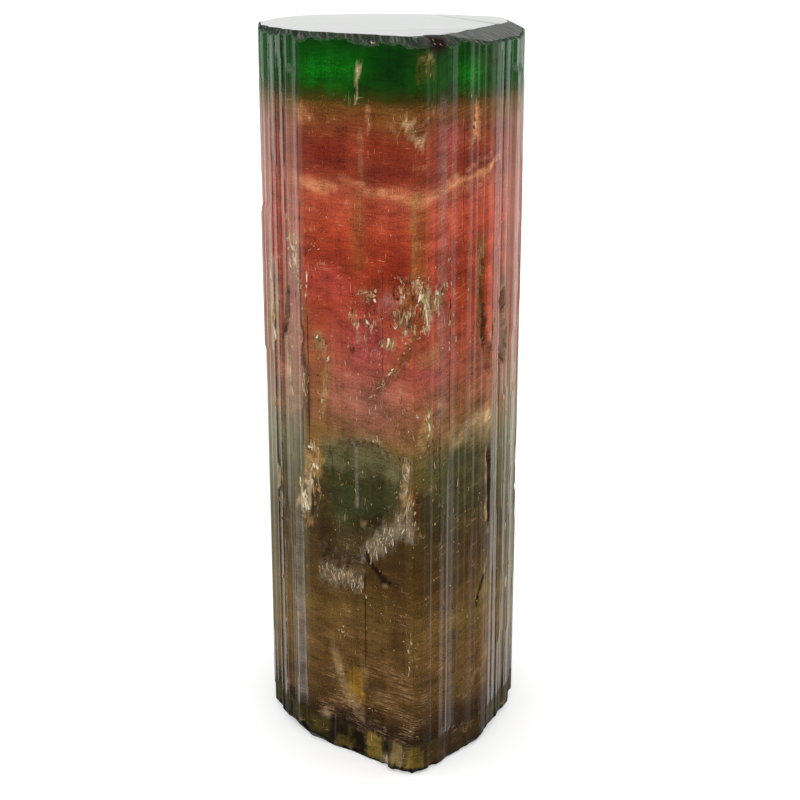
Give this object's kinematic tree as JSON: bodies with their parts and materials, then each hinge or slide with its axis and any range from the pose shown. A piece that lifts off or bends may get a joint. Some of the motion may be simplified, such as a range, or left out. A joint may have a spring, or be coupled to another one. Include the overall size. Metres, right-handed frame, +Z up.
{
  "type": "tourmaline crystal",
  "caption": "Tall natural tourmaline prism with fine ridges down its sides, a flat top and a chipped foot, green at the top, pink to red below and dark olive towards the foot.",
  "frame": {"origin": "centre of the crystal's outline, on the plane that its foot rests on", "axes": "+Z up along the crystal's long axis, -Y towards the viewer of the picture, +X to the viewer's right"},
  "size_m": [0.0218, 0.0256, 0.06],
  "materials": {
    "tourmaline": "glossy translucent crystal, green at the top, pink to red in the middle, dark olive brown below, with fine ridges down its sides"
  },
  "bodies": {
    "root": {"tourmaline_crystal": "tourmaline"}
  },
  "joints": []
}
